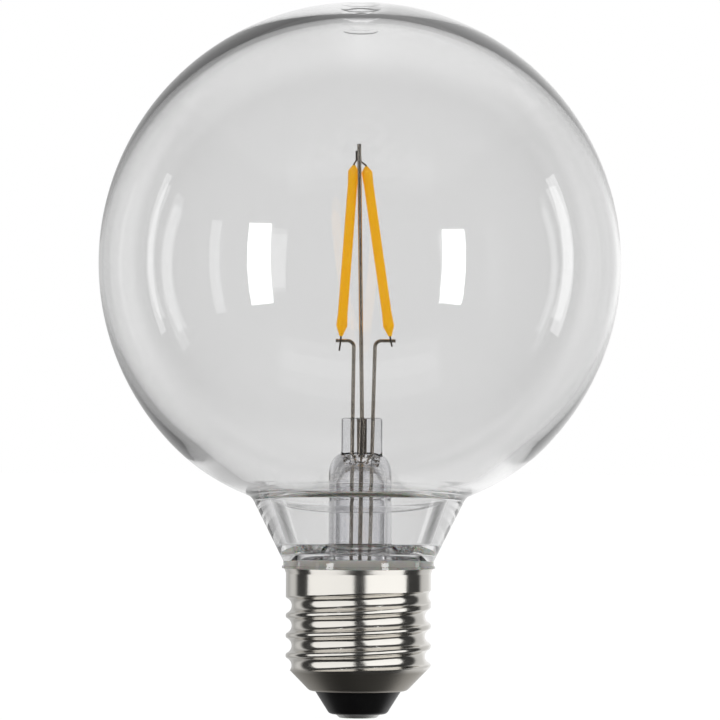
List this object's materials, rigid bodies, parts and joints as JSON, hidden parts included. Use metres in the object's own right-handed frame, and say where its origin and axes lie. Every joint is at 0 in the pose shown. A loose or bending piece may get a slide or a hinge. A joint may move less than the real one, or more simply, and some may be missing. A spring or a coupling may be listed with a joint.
{
  "type": "globe bulb",
  "caption": "Clear globe light bulb with a pair of yellow light filaments on a pressed stem and a nickel screw cap.",
  "frame": {"origin": "centre of the end contact's flat face", "axes": "+Z along the bulb's axis from the end contact to the globe's crown, -Y towards the viewer of the picture"},
  "size_m": [0.095, 0.095, 0.13],
  "materials": {
    "clear_plastic": "clear polycarbonate, blown and polished",
    "stem_glass": "clear pressed glass",
    "nickel_wire": "bright drawn nickel wire",
    "phosphor_silicone": "satin yellow phosphor silicone",
    "pin_steel": "dull steel strip",
    "cement": "pale grey translucent cement",
    "nickel_shell": "bright nickel plate on rolled sheet",
    "black_insulator": "glossy black moulding",
    "contact_metal": "satin pale metal",
    "tinned_wire": "tinned copper wire",
    "board": "green solder mask",
    "chip_black": "black moulding compound",
    "capacitor_sleeve": "dark shrink sleeve",
    "resistor_body": "dipped green body",
    "film_coating": "dipped brown coating"
  },
  "bodies": {
    "root": {"globe": "clear_plastic", "stem": "stem_glass", "centre_post": "nickel_wire", "left_lead_wire": "nickel_wire", "right_lead_wire": "nickel_wire", "left_filament": "phosphor_silicone", "right_filament": "phosphor_silicone", "left_upper_pin": "pin_steel", "right_upper_pin": "pin_steel", "left_lower_pin": "pin_steel", "right_lower_pin": "pin_steel", "neck_cement": "cement", "screw_shell": "nickel_shell", "insulator": "black_insulator", "end_contact": "contact_metal", "contact_wire": "tinned_wire", "shell_wire": "tinned_wire", "driver_board": "board", "bridge_rectifier": "chip_black", "driver_chip": "chip_black", "smoothing_capacitor": "capacitor_sleeve", "fusible_resistor": "resistor_body", "film_capacitor": "film_coating"}
  },
  "joints": []
}
